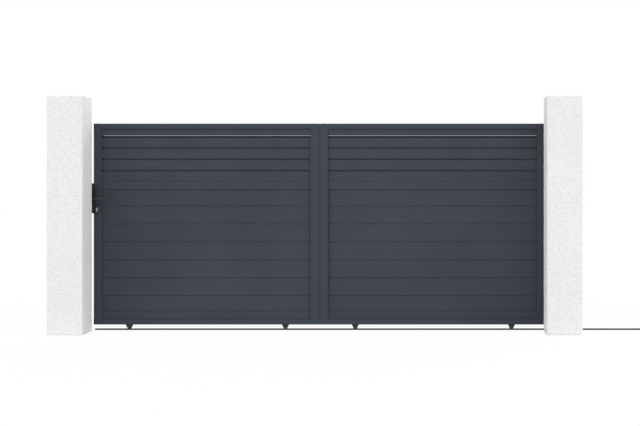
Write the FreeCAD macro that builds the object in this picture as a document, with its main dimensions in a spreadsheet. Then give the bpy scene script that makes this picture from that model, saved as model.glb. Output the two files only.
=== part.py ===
import FreeCAD, Part
import math
import os
import re
import Sketcher

# A sliding driveway gate in slatted aluminium, closed between two rendered masonry pillars.
# Millimetres, +Z up. The origin is the middle of the left pillar's foot, +X runs along the
# gate towards the storage side and +Y goes from the street into the drive.

# Driving dimensions, each set by itself
sizes = {
    "pillar_width": 270,
    "pillar_depth": 270,
    "pillar_rise": 196.5,
    "pillar_edge": 8,
    "half_leaf": 1759,
    "leaf_lap": 28,
    "leaf_gap": 45,
    "frame_depth": 60,
    "ground_gap": 43,
    "bottom_rail_height": 42,
    "lower_bar_height": 54,
    "middle_bar_height": 63.1,
    "upper_bar_height": 51.9,
    "top_rail_height": 40,
    "rail_wall": 3,
    "rail_lip": 9,
    "rail_edge": 2,
    "cap_length": 12,
    "stile_width": 60,
    "stile_wall": 2.5,
    "stile_edge": 2,
    "channel_depth": 15,
    "seat_gap": 0.3,
    "strip_width": 15,
    "strip_wall": 2,
    "strip_recess": 2,
    "strip_end_gap": 39,
    "bar_depth": 40,
    "bar_wall": 2,
    "bar_edge": 1.5,
    "plank_pitch": 139.5,
    "plank_thickness": 24,
    "plank_wall": 1.5,
    "plank_bevel": 3,
    "plank_upper_insert": 10,
    "plank_lower_insert": 13,
    "tongue_height": 8,
    "tongue_thickness": 8,
    "louvre_pitch": 88.3,
    "louvre_face": 73,
    "louvre_depth": 30,
    "louvre_slope": 16.5,
    "louvre_wall": 1.6,
    "louvre_sole": 4,
    "louvre_edge": 1.4,
    "louvre_top_slit": 1.6,
    "tail_reach": 100,
    "tail_nose": 25,
    "tail_taper": 6,
    "slide_travel": 3350,
    "track_start_gap": 5,
    "track_flange": 40,
    "track_flange_height": 3,
    "bead_radius": 6,
    "bead_height": 10,
    "track_joint": 65,
    "track_tail": 60,
    "stop_gap": 5,
    "stop_pad_length": 8,
    "stop_thickness": 20,
    "stop_height": 130,
    "wheel_radius": 18,
    "wheel_width": 20,
    "groove_depth": 4,
    "groove_clearance": 0.3,
    "wheel_inset": 272,
    "groove_floor": 6.4,
    "groove_mouth": 12.4,
    "axle_radius": 5,
    "axle_clearance": 0.05,
    "axle_head_radius": 8,
    "axle_head_length": 3,
    "fork_side_gap": 1,
    "fork_cheek": 4,
    "fork_base": 4,
    "fork_tip_radius": 16,
    "fork_half_width": 30,
    "fork_flank_angle": 30,
    "lock_backset": 27,
    "lever_height": 1022,
    "cylinder_drop": 80,
    "backplate_width": 30,
    "backplate_height": 220,
    "backplate_thickness": 8,
    "backplate_drop": 120,
    "backplate_edge": 3,
    "lever_gap": 0.3,
    "lever_standoff": 44,
    "lever_neck_radius": 9,
    "lever_length": 105,
    "lever_bar_height": 18,
    "lever_bar_depth": 12,
    "lever_edge": 3,
    "spindle_side": 8,
    "spindle_hole_radius": 7,
    "cylinder_radius": 8.5,
    "cylinder_slot": 5,
    "cylinder_tail": 19.5,
    "cylinder_proud": 3,
    "cylinder_clearance": 0.2,
    "faceplate_width": 22,
    "faceplate_height": 236,
    "faceplate_drop": 128,
    "bolt_slot_width": 9,
    "bolt_slot_height": 32,
    "keeper_height": 232,
    "keeper_drop": 114,
    "keeper_plate": 4,
    "keeper_foot": 64,
    "keeper_clearance": 5,
    "keeper_overlap": 6,
    "strike_width": 16,
    "strike_height": 60,
    "guide_plate": 6,
    "guide_plate_height": 120,
    "guide_width": 80,
    "guide_inset": 25,
    "guide_arm_gap": 20,
    "guide_arm_overhang": 22,
    "roller_radius": 18,
    "roller_height": 38,
    "roller_clearance": 0.5,
    "roller_edge": 2,
    "roller_pin_radius": 5,
    "roller_pin_head": 9,
    "roller_pin_head_height": 5,
    "roller_pin_top": 14,
}

plank_count = 7
louvre_count = 4

# Places that follow from them, written as sums of sizes and of other places
places = {
    "pillar_back": "pillar_depth / 2",
    "leaf_start": "pillar_width / 2",
    "leaf_middle": "leaf_start + half_leaf",
    "leaf_end": "leaf_start + 2 * half_leaf",
    "passage_end": "leaf_end - leaf_lap",
    "leaf_front": "pillar_back + leaf_gap",
    "leaf_back": "leaf_front + frame_depth",
    "leaf_centre": "leaf_front + frame_depth / 2",
    "stile_foot": "ground_gap + bottom_rail_height",
    "lower_bar_top": "stile_foot + lower_bar_height",
    "plank_foot": "lower_bar_top - plank_lower_insert",
    "plank_head": f"plank_foot + {plank_count} * plank_pitch",
    "middle_bar_foot": "plank_head - plank_upper_insert",
    "middle_bar_top": "middle_bar_foot + middle_bar_height",
    "louvre_foot": "middle_bar_top",
    "louvre_head": f"louvre_foot + {louvre_count - 1} * louvre_pitch + louvre_face + louvre_slope",
    "upper_bar_foot": "louvre_head + louvre_top_slit",
    "upper_bar_top": "upper_bar_foot + upper_bar_height",
    "leaf_top": "upper_bar_top + top_rail_height",
    "pillar_top": "leaf_top + pillar_rise",
    "opening_width": "half_leaf - 2 * stile_width - strip_width",
    "infill_length": "opening_width + 2 * channel_depth - 2 * seat_gap",
    "infill_inset": "stile_width - channel_depth + seat_gap",
    "tail_start": "leaf_end - strip_width",
    "tail_end": "leaf_end + tail_reach",
    "strip_foot": "stile_foot + strip_end_gap",
    "strip_head": "upper_bar_top - strip_end_gap",
    "wheel_height": "bead_height + groove_clearance + wheel_radius - groove_depth",
    "fork_top": "ground_gap + bottom_rail_height - rail_wall",
    "fork_depth": "wheel_width + 2 * fork_side_gap + 2 * fork_cheek",
    "track_start": "leaf_start + track_start_gap",
    "track_split": "leaf_end + track_joint",
    "stop_face": "tail_end + slide_travel + stop_gap",
    "track_end": "stop_face + stop_pad_length + stop_thickness + track_tail",
    "lock_axis": "leaf_start + lock_backset",
    "cylinder_height": "lever_height - cylinder_drop",
    "guide_arm_foot": "leaf_top + guide_arm_gap",
    "guide_start": "passage_end + guide_inset",
    "roller_place": "guide_start + guide_width / 2",
    "front_roller": "leaf_front - roller_clearance - roller_radius",
    "back_roller": "leaf_back + roller_clearance + roller_radius",
}

doc = FreeCAD.newDocument("SlidingGate")
sheet = doc.addObject("Spreadsheet::Sheet", "Sizes")
for row, (alias, value) in enumerate(sizes.items(), start=1):
    sheet.set(f"A{row}", alias)
    sheet.set(f"B{row}", str(value))
    sheet.setAlias(f"B{row}", alias)
doc.recompute()

pieces = []

# How near counts as the same when edges are picked, in millimetres and in degrees
same_place = 0.01
same_way_angle = 2.5


def bound(expression):
    """Spell an expression out in cells of the sheet."""

    def spell(match):
        word = match.group()
        if word in sizes:
            return "Sizes." + word
        if word in places:
            return "(" + bound(places[word]) + ")"
        return word

    return re.sub(r"[a-z_]+", spell, expression)


def amount(expression):
    return float(sheet.evalExpression(bound(expression)))


def constrain(sketch, kind, geometry, point, expression):
    """Hold one measure of a sketch to an expression."""
    value = amount(expression)
    if kind == "Radius":
        constraint = Sketcher.Constraint(kind, geometry, value)
    else:
        constraint = Sketcher.Constraint(kind, -1, 1, geometry, point, value)
    index = sketch.addConstraint(constraint)
    sketch.setExpression(f"Constraints[{index}]", bound(expression))


def draw_outline(sketch, corners):
    """Draw a closed outline. A corner is (u, v), or (u, v, centre_u, centre_v, turn) where
    the edge that leaves it is an arc round that centre, anticlockwise if turn is 1."""
    first = sketch.GeometryCount
    spots = [FreeCAD.Vector(amount(corner[0]), amount(corner[1]), 0) for corner in corners]
    ends = []
    for number, corner in enumerate(corners):
        start = spots[number]
        finish = spots[(number + 1) % len(corners)]
        if len(corner) == 2:
            sketch.addGeometry(Part.LineSegment(start, finish))
            ends.append((1, 2))
            continue
        centre = FreeCAD.Vector(amount(corner[2]), amount(corner[3]), 0)
        turn = corner[4]
        begin, close = (start, finish) if turn == 1 else (finish, start)
        begin_angle = math.atan2(begin.y - centre.y, begin.x - centre.x)
        close_angle = math.atan2(close.y - centre.y, close.x - centre.x)
        if close_angle <= begin_angle:
            close_angle += 2 * math.pi
        circle = Part.Circle(centre, FreeCAD.Vector(0, 0, 1), (begin - centre).Length)
        sketch.addGeometry(Part.ArcOfCircle(circle, begin_angle, close_angle))
        ends.append((1, 2) if turn == 1 else (2, 1))
    for number, corner in enumerate(corners):
        following = (number + 1) % len(corners)
        sketch.addConstraint(Sketcher.Constraint(
            "Coincident", first + number, ends[number][1], first + following, ends[following][0]))
        constrain(sketch, "DistanceX", first + number, ends[number][0], corner[0])
        constrain(sketch, "DistanceY", first + number, ends[number][0], corner[1])
        if len(corner) > 2:
            chord = spots[following] - spots[number]
            if abs(chord.x) > abs(chord.y):
                constrain(sketch, "DistanceY", first + number, 3, corner[3])
            else:
                constrain(sketch, "DistanceX", first + number, 3, corner[2])


def draw_circle(sketch, u, v, radius):
    centre = FreeCAD.Vector(amount(u), amount(v), 0)
    index = sketch.addGeometry(Part.Circle(centre, FreeCAD.Vector(0, 0, 1), amount(radius)))
    constrain(sketch, "DistanceX", index, 3, u)
    constrain(sketch, "DistanceY", index, 3, v)
    constrain(sketch, "Radius", index, 0, radius)


def rectangle(low_u, low_v, high_u, high_v):
    return [(low_u, low_v), (high_u, low_v), (high_u, high_v), (low_u, high_v)]


def new_body(label, x="0", y="0", z="0"):
    body = doc.addObject("PartDesign::Body", label)
    body.Label = label
    for axis, expression in (("x", x), ("y", y), ("z", z)):
        body.setExpression(f"Placement.Base.{axis}", bound(expression))
    return body


def new_sketch(body, plane, offset="0"):
    """A sketch on one of the body's own origin planes, raised along the plane's normal."""
    sketch = body.newObject("Sketcher::SketchObject", body.Label + "_sketch")
    support = [item for item in body.Origin.OriginFeatures if item.Role == plane + "_Plane"]
    sketch.AttachmentSupport = [(support[0], "")]
    sketch.MapMode = "FlatFace"
    sketch.setExpression("AttachmentOffset.Base.z", bound(offset))
    doc.recompute()
    return sketch


def pad(body, sketch, length, backwards=False):
    feature = body.newObject("PartDesign::Pad", body.Label + "_pad")
    feature.Profile = sketch
    feature.Reversed = backwards
    feature.setExpression("Length", bound(length))
    doc.recompute()
    return feature


def pocket(body, sketch, length, backwards=False):
    """Cut a sketch into the body, against its plane's normal or, backwards, along it."""
    before = body.Shape.Volume
    feature = body.newObject("PartDesign::Pocket", body.Label + "_pocket")
    feature.Profile = sketch
    feature.Reversed = backwards
    feature.setExpression("Length", bound(length))
    doc.recompute()
    if body.Shape.Volume >= before:
        raise RuntimeError(body.Label + ": a pocket cuts nothing")
    return feature


def revolve(body, sketch):
    feature = body.newObject("PartDesign::Revolution", body.Label + "_turning")
    feature.Profile = sketch
    feature.ReferenceAxis = (sketch, ["H_Axis"])
    doc.recompute()
    return feature


def dress_edges(body, base, kind, measure, size, chosen):
    """Fillet or chamfer those edges of a feature for which chosen(edge) is true."""
    names = [f"Edge{number}" for number, edge in enumerate(base.Shape.Edges, start=1) if chosen(edge)]
    feature = body.newObject(f"PartDesign::{kind}", f"{body.Label}_{kind.lower()}")
    feature.Base = (base, names)
    feature.setExpression(measure, bound(size))
    doc.recompute()
    return feature


def round_edges(body, base, radius, chosen):
    return dress_edges(body, base, "Fillet", "Radius", radius, chosen)


def bevel_edges(body, base, size, chosen):
    return dress_edges(body, base, "Chamfer", "Size", size, chosen)


def along(edge, axis):
    """True for a straight edge that runs along a coordinate axis, 0, 1 or 2."""
    if not isinstance(edge.Curve, Part.Line):
        return False
    return abs(edge.tangentAt(edge.FirstParameter)[axis]) > math.cos(math.radians(same_way_angle))


def outer(edge, shape, axes):
    """True for an edge that lies on the shape's box in both of the given axes."""
    low = shape.BoundBox
    lows = (low.XMin, low.YMin, low.ZMin)
    highs = (low.XMax, low.YMax, low.ZMax)
    middle = edge.CenterOfGravity
    return all(min(middle[axis] - lows[axis], highs[axis] - middle[axis]) < same_place for axis in axes)


def extrude(label, plane, outlines, length, x="0", y="0", z="0"):
    """A body of one section, with its hollows, pushed along the plane's normal."""
    body = new_body(label, x, y, z)
    sketch = new_sketch(body, plane)
    for corners in outlines:
        draw_outline(sketch, corners)
    return body, pad(body, sketch, length)


def soften(body, base, radius, run):
    """Round the long outer corners of a section that runs along one axis."""
    across = [axis for axis in range(3) if axis != run]
    return round_edges(
        body, base, radius, lambda edge: along(edge, run) and outer(edge, base.Shape, across))


def keep(node):
    pieces.append(node)
    return node


def gather(label, members):
    """One node of several like solids that don't touch."""
    group = doc.addObject("Part::Compound", label)
    group.Label = label
    group.Links = members
    doc.recompute()
    return keep(group)


# Masonry pillars, rendered, with softened upright corners
def pillar(label, x):
    body, block = extrude(
        label, "XY",
        [rectangle("-pillar_width / 2", "-pillar_depth / 2", "pillar_width / 2", "pillar_depth / 2")],
        "pillar_top", x=x)
    soften(body, block, "pillar_edge", 2)
    keep(body)


pillar("left_pillar", "0")
pillar("right_pillar", "passage_end + pillar_width / 2")


# Ground track: a flat flange with a half-round bead, laid in two lengths
def track(label, start, finish):
    half_flange = "track_flange / 2"
    spring = "bead_height - bead_radius"
    section = [
        (f"leaf_centre - {half_flange}", "0"),
        (f"leaf_centre + {half_flange}", "0"),
        (f"leaf_centre + {half_flange}", "track_flange_height"),
        ("leaf_centre + bead_radius", "track_flange_height"),
        ("leaf_centre + bead_radius", spring, "leaf_centre", spring, 1),
        ("leaf_centre - bead_radius", spring),
        ("leaf_centre - bead_radius", "track_flange_height"),
        (f"leaf_centre - {half_flange}", "track_flange_height"),
    ]
    body, _ = extrude(label, "YZ", [section], f"{finish} - {start}", x=start)
    keep(body)


track("front_rail", "track_start", "track_split")
track("storage_rail", "track_split", "track_end")


# End stop, straddling the bead at the end of the track, with a rubber pad towards the leaf
stop_half = "track_flange / 2"
stop_slot = "bead_radius + seat_gap"
stop_section = [
    (f"leaf_centre - {stop_half}", "track_flange_height"),
    (f"leaf_centre - ({stop_slot})", "track_flange_height"),
    (f"leaf_centre - ({stop_slot})", "bead_height + seat_gap"),
    (f"leaf_centre + ({stop_slot})", "bead_height + seat_gap"),
    (f"leaf_centre + ({stop_slot})", "track_flange_height"),
    (f"leaf_centre + {stop_half}", "track_flange_height"),
    (f"leaf_centre + {stop_half}", f"stop_height - {stop_half}", "leaf_centre",
     f"stop_height - {stop_half}", 1),
    (f"leaf_centre - {stop_half}", f"stop_height - {stop_half}"),
]
stop_body, _ = extrude(
    "rail_end_stop", "YZ", [stop_section], "stop_thickness", x="stop_face + stop_pad_length")
keep(stop_body)

pad_body = new_body("end_stop_pad", x="stop_face")
pad_sketch = new_sketch(pad_body, "YZ")
draw_circle(pad_sketch, "leaf_centre", f"stop_height - {stop_half}", f"{stop_half} - stop_pad_length / 2")
pad_block = pad(pad_body, pad_sketch, "stop_pad_length")
bevel_edges(
    pad_body, pad_block, "stop_pad_length / 3",
    lambda edge: abs(edge.CenterOfGravity.x) < same_place and not along(edge, 0))
keep(pad_body)


# Leaf rails: a box tube on top and a lipped channel below, over the whole length
rail_start = "leaf_start + cap_length"
rail_length = "tail_start - leaf_start - cap_length"

top_rail, top_tube = extrude(
    "top_rail", "YZ",
    [rectangle("leaf_front", "upper_bar_top", "leaf_back", "leaf_top"),
     rectangle("leaf_front + rail_wall", "upper_bar_top + rail_wall",
               "leaf_back - rail_wall", "leaf_top - rail_wall")],
    rail_length, x=rail_start)
soften(top_rail, top_tube, "rail_edge", 0)
keep(top_rail)

channel_section = [
    ("leaf_front", "ground_gap"),
    ("leaf_front + rail_lip", "ground_gap"),
    ("leaf_front + rail_lip", "ground_gap + rail_wall"),
    ("leaf_front + rail_wall", "ground_gap + rail_wall"),
    ("leaf_front + rail_wall", "stile_foot - rail_wall"),
    ("leaf_back - rail_wall", "stile_foot - rail_wall"),
    ("leaf_back - rail_wall", "ground_gap + rail_wall"),
    ("leaf_back - rail_lip", "ground_gap + rail_wall"),
    ("leaf_back - rail_lip", "ground_gap"),
    ("leaf_back", "ground_gap"),
    ("leaf_back", "stile_foot"),
    ("leaf_front", "stile_foot"),
]
bottom_rail, channel = extrude("bottom_rail", "YZ", [channel_section], rail_length, x=rail_start)
soften(bottom_rail, channel, "rail_edge", 0)
keep(bottom_rail)


# Moulded caps on the leading ends of both rails
def rail_cap(label, foot, head):
    body, block = extrude(
        label, "YZ", [rectangle("leaf_front", foot, "leaf_back", head)], "cap_length", x="leaf_start")
    soften(body, block, "rail_edge", 0)
    return body


gather("rail_end_caps", [
    rail_cap("lower_cap", "ground_gap", "stile_foot"),
    rail_cap("upper_cap", "upper_bar_top", "leaf_top"),
])


# Tail pieces: moulded blocks that run on behind the right pillar, the upper one between the guide
# rollers so that they still hold the leaf when it is shut, with a tapered nose for the rollers
def tail_piece(label, foot, head):
    shoulder = "tail_end - tail_start - tail_nose"
    plan = [
        ("0", "leaf_front"),
        (shoulder, "leaf_front"),
        ("tail_end - tail_start", "leaf_front + tail_taper"),
        ("tail_end - tail_start", "leaf_back - tail_taper"),
        (shoulder, "leaf_back"),
        ("0", "leaf_back"),
    ]
    body, block = extrude(label, "XY", [plan], f"{head} - {foot}", x="tail_start", z=foot)
    bevel_edges(body, block, "rail_edge", lambda edge: along(edge, 0))
    keep(body)


tail_piece("upper_tail_guide", "strip_head", "leaf_top")
tail_piece("lower_tail_guide", "ground_gap", "strip_foot")


# Stiles: extruded uprights with a deep channel that takes the ends of the bars, blades and planks
def stile_section(opens_right):
    def from_edge(distance):
        return distance if opens_right else f"stile_width - ({distance})"

    half_channel = "bar_depth / 2 + seat_gap"
    outline = [
        (from_edge("0"), "leaf_front"),
        (from_edge("stile_width"), "leaf_front"),
        (from_edge("stile_width"), f"leaf_centre - ({half_channel})"),
        (from_edge("stile_width - channel_depth"), f"leaf_centre - ({half_channel})"),
        (from_edge("stile_width - channel_depth"), f"leaf_centre + ({half_channel})"),
        (from_edge("stile_width"), f"leaf_centre + ({half_channel})"),
        (from_edge("stile_width"), "leaf_back"),
        (from_edge("0"), "leaf_back"),
    ]
    hollow = [
        (from_edge("stile_wall"), "leaf_front + stile_wall"),
        (from_edge("stile_width - channel_depth - stile_wall"), "leaf_front + stile_wall"),
        (from_edge("stile_width - channel_depth - stile_wall"), "leaf_back - stile_wall"),
        (from_edge("stile_wall"), "leaf_back - stile_wall"),
    ]
    return [outline, hollow]


def stile(label, x, opens_right):
    body, tube = extrude(
        label, "XY", stile_section(opens_right), "upper_bar_top - stile_foot", x=x, z="stile_foot")
    soften(body, tube, "stile_edge", 2)
    return keep(body)


def cylinder_outline(clearance):
    """The keyhole-shaped section of a profile cylinder, grown by a clearance."""
    slot = f"cylinder_slot + {clearance}"
    radius = f"cylinder_radius + {clearance}"
    shoulder = f"cylinder_height - sqrt(({radius}) ^ 2 - ({slot}) ^ 2)"
    tail = "cylinder_height - cylinder_tail"
    return [
        (f"lock_axis - ({slot})", tail, "lock_axis", tail, 1),
        (f"lock_axis + ({slot})", tail),
        (f"lock_axis + ({slot})", shoulder, "lock_axis", "cylinder_height", 1),
        (f"lock_axis - ({slot})", shoulder),
    ]


leading_stile = stile("leading_stile", "leaf_start", True)
stile("left_centre_stile", "leaf_middle - strip_width - stile_width", False)
stile("right_centre_stile", "leaf_middle", True)
stile("trailing_stile", "tail_start - stile_width", False)


def in_stile(corners):
    """Move an outline drawn over the ground and the left pillar into the leading stile's frame."""
    moved = []
    for corner in corners:
        spot = [f"{corner[0]} - (leaf_start)", f"{corner[1]} - (stile_foot)"]
        if len(corner) > 2:
            spot += [f"{corner[2]} - (leaf_start)", f"{corner[3]} - (stile_foot)", corner[4]]
        moved.append(tuple(spot))
    return moved


# Lock preparation in the leading stile: spindle and cylinder holes and the faceplate's window
hole_sketch = new_sketch(leading_stile, "XZ")
draw_outline(hole_sketch, in_stile(cylinder_outline("cylinder_clearance")))
draw_circle(hole_sketch, "lock_backset", "lever_height - stile_foot", "spindle_hole_radius")
pocket(leading_stile, hole_sketch, "leaf_back + frame_depth")

face_half = "faceplate_width / 2"
faceplate_foot = "lever_height - faceplate_drop"
window_sketch = new_sketch(leading_stile, "YZ")
draw_outline(window_sketch, rectangle(
    f"leaf_centre - {face_half} - seat_gap", f"{faceplate_foot} - stile_foot - seat_gap",
    f"leaf_centre + {face_half} + seat_gap",
    f"{faceplate_foot} + faceplate_height - stile_foot + seat_gap"))
pocket(leading_stile, window_sketch, "stile_wall + seat_gap", backwards=True)


# Closing strips: slim tubes between the half leaves and on the trailing edge, behind the right pillar
def strip(label, x, foot, head):
    body, tube = extrude(
        label, "XY",
        [rectangle("0", "leaf_front + strip_recess", "strip_width", "leaf_back - strip_recess"),
         rectangle("strip_wall", "leaf_front + strip_recess + strip_wall",
                   "strip_width - strip_wall", "leaf_back - strip_recess - strip_wall")],
        f"{head} - {foot}", x=x, z=foot)
    soften(body, tube, "strip_wall / 2", 2)
    keep(body)


strip("centre_joint_strip", "leaf_middle - strip_width", "stile_foot", "upper_bar_top")
strip("tail_strip", "tail_start", "strip_foot", "strip_head")


# Crossbars: tubes across each half leaf, grooved where they take the planks
bar_front = "leaf_centre - bar_depth / 2"
bar_back = "leaf_centre + bar_depth / 2"
groove_front = "leaf_centre - plank_thickness / 2 - seat_gap"
groove_back = "leaf_centre + plank_thickness / 2 + seat_gap"


def crossbar(label, x, outlines):
    body, tube = extrude(label, "YZ", outlines, "infill_length", x=x)
    soften(body, tube, "bar_edge", 0)
    keep(body)


def hollow_between(foot, head):
    return rectangle(f"{bar_front} + bar_wall", foot, f"{bar_back} - bar_wall", head)


def upper_bar_section():
    return [
        rectangle(bar_front, "upper_bar_foot", bar_back, "upper_bar_top"),
        hollow_between("upper_bar_foot + bar_wall", "upper_bar_top - bar_wall"),
    ]


def middle_bar_section():
    groove_top = "plank_head + tongue_height + bar_wall"
    return [
        [(bar_front, "middle_bar_foot"), (groove_front, "middle_bar_foot"), (groove_front, groove_top),
         (groove_back, groove_top), (groove_back, "middle_bar_foot"), (bar_back, "middle_bar_foot"),
         (bar_back, "middle_bar_top"), (bar_front, "middle_bar_top")],
        hollow_between(f"{groove_top} + bar_wall", "middle_bar_top - bar_wall"),
    ]


def lower_bar_section():
    groove_floor = "plank_foot - seat_gap"
    return [
        [(bar_front, "stile_foot"), (bar_back, "stile_foot"), (bar_back, "lower_bar_top"),
         (groove_back, "lower_bar_top"), (groove_back, groove_floor), (groove_front, groove_floor),
         (groove_front, "lower_bar_top"), (bar_front, "lower_bar_top")],
        hollow_between("stile_foot + bar_wall", f"{groove_floor} - bar_wall"),
    ]


# Louvre blades: hollow extrusions with an upright face, a sloping top and, behind a narrow sole,
# a sloping underside
def louvre_section():
    front = "leaf_centre - louvre_depth / 2"
    back = "leaf_centre + louvre_depth / 2"
    rise = "louvre_wall * louvre_slope / louvre_depth"
    inner_foot = f"louvre_wall + {rise}"
    inner_head = f"louvre_face - louvre_wall + {rise}"
    climb = "louvre_slope * (1 - 2 * louvre_wall / louvre_depth)"
    return [
        [(front, "0"), (f"{front} + louvre_sole", "0"), (back, "louvre_slope"),
         (back, "louvre_face + louvre_slope"), (front, "louvre_face")],
        [(f"{front} + louvre_wall", inner_foot), (f"{back} - louvre_wall", f"{inner_foot} + {climb}"),
         (f"{back} - louvre_wall", f"{inner_head} + {climb}"), (f"{front} + louvre_wall", inner_head)],
    ]


def louvre(label, x, number):
    body, blade = extrude(
        label, "YZ", louvre_section(), "infill_length", x=x, z=f"louvre_foot + {number} * louvre_pitch")
    front = amount("leaf_centre - louvre_depth / 2")
    round_edges(
        body, blade, "louvre_edge",
        lambda edge: along(edge, 0) and abs(edge.CenterOfGravity.y - front) < same_place)
    return body


# Planks: hollow tongue-and-groove boards with bevelled edges that meet in shallow V joints
def plank_section():
    front = "leaf_centre - plank_thickness / 2"
    back = "leaf_centre + plank_thickness / 2"
    head = "plank_pitch - seat_gap"
    tongue = "tongue_thickness / 2"
    groove = f"{tongue} + seat_gap"
    groove_top = "tongue_height + seat_gap"
    outline = [
        (front, "plank_bevel"), (f"{front} + plank_bevel", "0"),
        (f"leaf_centre - ({groove})", "0"), (f"leaf_centre - ({groove})", groove_top),
        (f"leaf_centre + ({groove})", groove_top), (f"leaf_centre + ({groove})", "0"),
        (f"{back} - plank_bevel", "0"), (back, "plank_bevel"),
        (back, f"{head} - plank_bevel"), (f"{back} - plank_bevel", head),
        (f"leaf_centre + {tongue}", head), (f"leaf_centre + {tongue}", f"{head} + tongue_height"),
        (f"leaf_centre - {tongue}", f"{head} + tongue_height"), (f"leaf_centre - {tongue}", head),
        (f"{front} + plank_bevel", head), (front, f"{head} - plank_bevel"),
    ]
    hollow = rectangle(
        f"{front} + plank_wall", f"{groove_top} + plank_wall",
        f"{back} - plank_wall", f"{head} - plank_bevel - plank_wall")
    return [outline, hollow]


def plank(label, x, number):
    body, _ = extrude(
        label, "YZ", plank_section(), "infill_length", x=x, z=f"plank_foot + {number} * plank_pitch")
    return body


for side, half_start in (("left", "leaf_start"), ("right", "leaf_middle")):
    infill_start = f"{half_start} + infill_inset"
    crossbar(f"{side}_upper_crossbar", infill_start, upper_bar_section())
    crossbar(f"{side}_middle_crossbar", infill_start, middle_bar_section())
    crossbar(f"{side}_lower_crossbar", infill_start, lower_bar_section())
    gather(f"{side}_louvres", [
        louvre(f"{side}_louvre_{number + 1}", infill_start, number) for number in range(louvre_count)])
    gather(f"{side}_planks", [
        plank(f"{side}_plank_{number + 1}", infill_start, number) for number in range(plank_count)])


# Running gear: grooved wheels in forks under the bottom rail, each on its own axle
def wheel(label, x):
    """Half of the wheel's section, turned about the axle, with the groove that takes the bead."""
    half = "wheel_width / 2"
    bore = "axle_radius + axle_clearance"
    floor = "wheel_radius - groove_depth"
    section = [
        (f"-{half}", bore), (half, bore), (half, "wheel_radius"),
        ("groove_mouth / 2", "wheel_radius"), ("groove_floor / 2", floor),
        ("-groove_floor / 2", floor), ("-groove_mouth / 2", "wheel_radius"),
        (f"-{half}", "wheel_radius"),
    ]
    body = new_body(label, x, "leaf_centre", "wheel_height")
    sketch = new_sketch(body, "YZ")
    draw_outline(sketch, section)
    revolve(body, sketch)
    keep(body)


def axle(label, x):
    half = "fork_depth / 2"
    head = f"{half} + axle_head_length"
    section = [
        (f"-({head})", "0"), (head, "0"), (head, "axle_head_radius"), (half, "axle_head_radius"),
        (half, "axle_radius"), (f"-{half}", "axle_radius"), (f"-{half}", "axle_head_radius"),
        (f"-({head})", "axle_head_radius"),
    ]
    body = new_body(label, x, "leaf_centre", "wheel_height")
    sketch = new_sketch(body, "YZ")
    draw_outline(sketch, section)
    revolve(body, sketch)
    return body


def fork(label, x):
    """A folded fork: two tapered cheeks with rounded tips under one base plate."""
    tangent_u = "fork_tip_radius * cos(fork_flank_angle)"
    tangent_v = "-fork_tip_radius * sin(fork_flank_angle)"
    shoulder = ("(fork_half_width - fork_tip_radius / cos(fork_flank_angle))"
                " / tan(fork_flank_angle)")
    top = "fork_top - wheel_height"
    cheek = [
        (f"-{tangent_u}", tangent_v, "0", "0", 1), (tangent_u, tangent_v),
        ("fork_half_width", shoulder), ("fork_half_width", top),
        ("-fork_half_width", top), ("-fork_half_width", shoulder),
    ]
    body, _ = extrude(
        label, "XZ", [cheek], "fork_depth", x=x, y="leaf_centre + fork_depth / 2", z="wheel_height")
    throat = new_sketch(body, "YZ", "fork_half_width")
    draw_outline(throat, rectangle(
        "-fork_depth + fork_cheek", "-wheel_radius", "-fork_cheek", f"{top} - fork_base"))
    pocket(body, throat, "2 * fork_half_width")
    bore = new_sketch(body, "XZ", "fork_depth")
    draw_circle(bore, "0", "0", "axle_radius + axle_clearance")
    pocket(body, bore, "fork_depth")
    keep(body)


wheel_places = [
    "leaf_start + wheel_inset",
    "leaf_middle - wheel_inset",
    "leaf_middle + wheel_inset",
    "leaf_end - wheel_inset",
]
axles = []
for number, wheel_place in enumerate(wheel_places, start=1):
    wheel(f"wheel_{number}", wheel_place)
    fork(f"wheel_fork_{number}", wheel_place)
    axles.append(axle(f"wheel_axle_{number}", wheel_place))
gather("wheel_axles", axles)


# Lock furniture: a long backplate on each face, a profile cylinder and the faceplate in the edge
def backplate(label, back_face):
    half = "backplate_width / 2"
    foot = "lever_height - backplate_drop"
    corner = f"{half} / 2"
    left = f"lock_axis - {half}"
    right = f"lock_axis + {half}"
    head = f"{foot} + backplate_height"
    inner_left = f"{left} + {corner}"
    inner_right = f"{right} - {corner}"
    inner_foot = f"{foot} + {corner}"
    inner_head = f"{head} - {corner}"
    plate = [
        (inner_left, foot), (inner_right, foot, inner_right, inner_foot, 1),
        (right, inner_foot), (right, inner_head, inner_right, inner_head, 1),
        (inner_right, head), (inner_left, head, inner_left, inner_head, 1),
        (left, inner_head), (left, inner_foot, inner_left, inner_foot, 1),
    ]
    body = new_body(label, y=back_face)
    sketch = new_sketch(body, "XZ")
    draw_outline(sketch, plate)
    draw_outline(sketch, cylinder_outline("cylinder_clearance"))
    draw_circle(sketch, "lock_axis", "lever_height", "spindle_hole_radius")
    block = pad(body, sketch, "backplate_thickness")
    return body, block


def shown_rim(block, inward):
    """Choose the outer edges of a plate's shown face."""
    depth = block.Shape.BoundBox.YMax if inward else block.Shape.BoundBox.YMin
    shown = [face for face in block.Shape.Faces
             if abs(face.BoundBox.YMin - depth) < same_place and abs(face.BoundBox.YMax - depth) < same_place]
    rim = shown[0].OuterWire.Edges
    return lambda edge: any(edge.isSame(other) for other in rim)


outer_plate, outer_block = backplate("outer_backplate", "leaf_front")
bevel_edges(outer_plate, outer_block, "backplate_edge", shown_rim(outer_block, False))
keep(outer_plate)
inner_plate, inner_block = backplate("inner_backplate", "leaf_back + backplate_thickness")
bevel_edges(inner_plate, inner_block, "backplate_edge", shown_rim(inner_block, True))
keep(inner_plate)

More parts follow.
